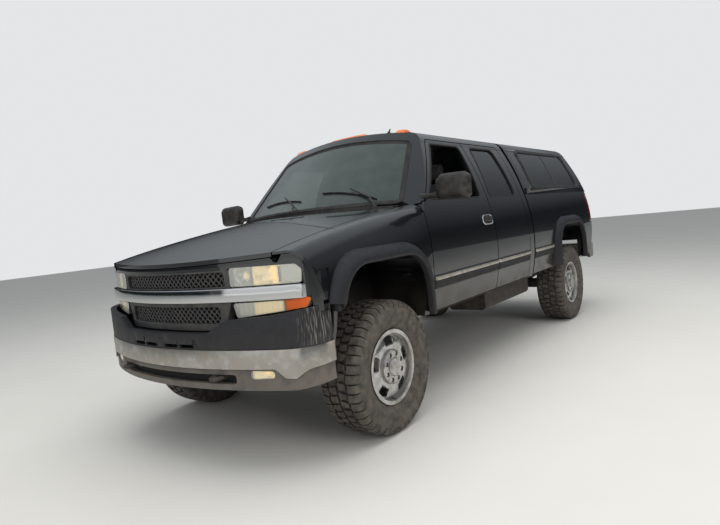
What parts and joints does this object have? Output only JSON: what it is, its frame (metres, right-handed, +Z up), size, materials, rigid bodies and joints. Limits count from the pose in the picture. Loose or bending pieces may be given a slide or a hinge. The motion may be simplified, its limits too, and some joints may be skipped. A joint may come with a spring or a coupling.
{
  "type": "pickup truck",
  "caption": "Lifted four-wheel-drive extended-cab pickup with wheel flares, off-road tyres, roof marker lamps and a canopy over its bed; doors, hood, tailgate, hatch, steering and wheels move",
  "frame": {"origin": "centre of the truck's outline, on the ground", "axes": "+X to the truck's left, +Y to its rear (the nose points to -Y), +Z up"},
  "size_m": [2.58, 5.725, 2.0701],
  "materials": {
    "body_paint": "gloss clearcoat, blue-black, dusty low down",
    "trim_plastic": "moulded dark grey plastic",
    "valance_plastic": "dusty grey plastic",
    "bright_metal": "chrome plate",
    "wheel_alloy": "cast alloy, polished, dusty",
    "tyre_rubber": "all-terrain tread, dusty",
    "window_glass": "tinted glass",
    "lamp_clear": "clear lens over bright reflector",
    "lamp_amber": "amber lens",
    "lamp_red": "red lens",
    "chassis_steel": "black chassis paint, dusty",
    "cast_metal": "bare castings",
    "exhaust_steel": "dull steel tube",
    "cabin_plastic": "moulded grey plastic",
    "seat_cloth": "woven seat cloth"
  },
  "bodies": {
    "truck_body": {"cab_shell": "body_paint", "front_fenders": "body_paint", "bed": "body_paint", "canopy": "body_paint", "wheel_flares": "trim_plastic", "bumper_cap": "trim_plastic", "radiator_support": "trim_plastic", "grille": "trim_plastic", "bumper_valance": "valance_plastic", "grille_bar": "bright_metal", "bumper_chrome": "bright_metal", "rear_bumper": "bright_metal", "fixed_glass": "window_glass", "front_lamps": "lamp_clear", "amber_lamps": "lamp_amber", "tail_lamps": "lamp_red", "ladder_frame": "chassis_steel", "rear_axle": "chassis_steel", "front_axle": "chassis_steel", "leaf_springs": "chassis_steel", "shock_absorbers": "chassis_steel", "hitch_receiver": "chassis_steel", "fuel_tank": "chassis_steel", "powertrain": "cast_metal", "exhaust": "exhaust_steel", "dashboard": "cabin_plastic", "seat_front_left": "seat_cloth", "seat_front_right": "seat_cloth", "seat_rear": "seat_cloth"},
    "hood": {"hood": "body_paint"},
    "door_front_left": {"door_front_left": "body_paint", "mirror_left": "trim_plastic"},
    "door_front_right": {"door_front_right": "body_paint", "mirror_right": "trim_plastic"},
    "door_rear_left": {"door_rear_left": "body_paint", "glass_rear_left": "window_glass"},
    "door_rear_right": {"door_rear_right": "body_paint", "glass_rear_right": "window_glass"},
    "tailgate": {"tailgate": "body_paint"},
    "hatch": {"hatch": "body_paint", "hatch_glass": "window_glass"},
    "steering_wheel": {"steering_wheel": "cabin_plastic"},
    "steering_linkage": {"steering_linkage": "chassis_steel"},
    "knuckle_left": {"knuckle_left": "chassis_steel"},
    "knuckle_right": {"knuckle_right": "chassis_steel"},
    "wheel_front_left": {"rim_front_left": "wheel_alloy", "tyre_front_left": "tyre_rubber"},
    "wheel_front_right": {"rim_front_right": "wheel_alloy", "tyre_front_right": "tyre_rubber"},
    "wheel_rear_left": {"rim_rear_left": "wheel_alloy", "tyre_rear_left": "tyre_rubber"},
    "wheel_rear_right": {"rim_rear_right": "wheel_alloy", "tyre_rear_right": "tyre_rubber"}
  },
  "joints": [
    {"name": "hood_hinge", "type": "hinge", "parent": "truck_body", "child": "hood", "pos_m": [0, -1.4225, 1.4], "axis": [-1, 0, 0], "range_deg": [0, 55]},
    {"name": "door_front_left_hinge", "type": "hinge", "parent": "truck_body", "child": "door_front_left", "pos_m": [1.009, -1.3425, 1.1], "axis": [0, 0, -1], "range_deg": [0, 68]},
    {"name": "door_front_right_hinge", "type": "hinge", "parent": "truck_body", "child": "door_front_right", "pos_m": [-1.009, -1.3425, 1.1], "axis": [0, 0, 1], "range_deg": [0, 68]},
    {"name": "door_rear_left_hinge", "type": "hinge", "parent": "truck_body", "child": "door_rear_left", "pos_m": [1.009, 0.4975, 1.1], "axis": [0, 0, 1], "range_deg": [0, 88]},
    {"name": "door_rear_right_hinge", "type": "hinge", "parent": "truck_body", "child": "door_rear_right", "pos_m": [-1.009, 0.4975, 1.1], "axis": [0, 0, -1], "range_deg": [0, 88]},
    {"name": "tailgate_hinge", "type": "hinge", "parent": "truck_body", "child": "tailgate", "pos_m": [0, 2.6455, 0.88], "axis": [-1, 0, 0], "range_deg": [0, 90]},
    {"name": "hatch_hinge", "type": "hinge", "parent": "truck_body", "child": "hatch", "pos_m": [0, 2.5475, 1.995], "axis": [1, 0, 0], "range_deg": [0, 75]},
    {"name": "steering_wheel_turn", "type": "hinge", "parent": "truck_body", "child": "steering_wheel", "pos_m": [0.4, -0.9425, 1.29], "axis": [0, 0.8829, 0.4695], "range_deg": [-485, 485]},
    {"name": "linkage_slide", "type": "slide", "parent": "truck_body", "child": "steering_linkage", "axis": [-1, 0, 0], "range_m": [-0.07, 0.07]},
    {"name": "kingpin_left", "type": "hinge", "parent": "truck_body", "child": "knuckle_left", "pos_m": [0.76, -1.9025, 0.416], "axis": [0, 0, 1], "range_deg": [-30, 30]},
    {"name": "kingpin_right", "type": "hinge", "parent": "truck_body", "child": "knuckle_right", "pos_m": [-0.76, -1.9025, 0.416], "axis": [0, 0, 1], "range_deg": [-30, 30]},
    {"name": "wheel_front_left_spin", "type": "hinge", "parent": "knuckle_left", "child": "wheel_front_left", "pos_m": [0.862, -1.9025, 0.416], "axis": [1, 0, 0], "continuous": true},
    {"name": "wheel_front_right_spin", "type": "hinge", "parent": "knuckle_right", "child": "wheel_front_right", "pos_m": [-0.862, -1.9025, 0.416], "axis": [1, 0, 0], "continuous": true},
    {"name": "wheel_rear_left_spin", "type": "hinge", "parent": "truck_body", "child": "wheel_rear_left", "pos_m": [0.862, 1.7425, 0.416], "axis": [1, 0, 0], "continuous": true},
    {"name": "wheel_rear_right_spin", "type": "hinge", "parent": "truck_body", "child": "wheel_rear_right", "pos_m": [-0.862, 1.7425, 0.416], "axis": [1, 0, 0], "continuous": true}
  ],
  "couplings": [
    {"joint": "kingpin_right", "follows": "kingpin_left", "ratio": 1},
    {"joint": "steering_wheel_turn", "follows": "kingpin_left", "ratio": 16},
    {"joint": "linkage_slide", "follows": "kingpin_left", "m_per_rad": 0.13}
  ]
}
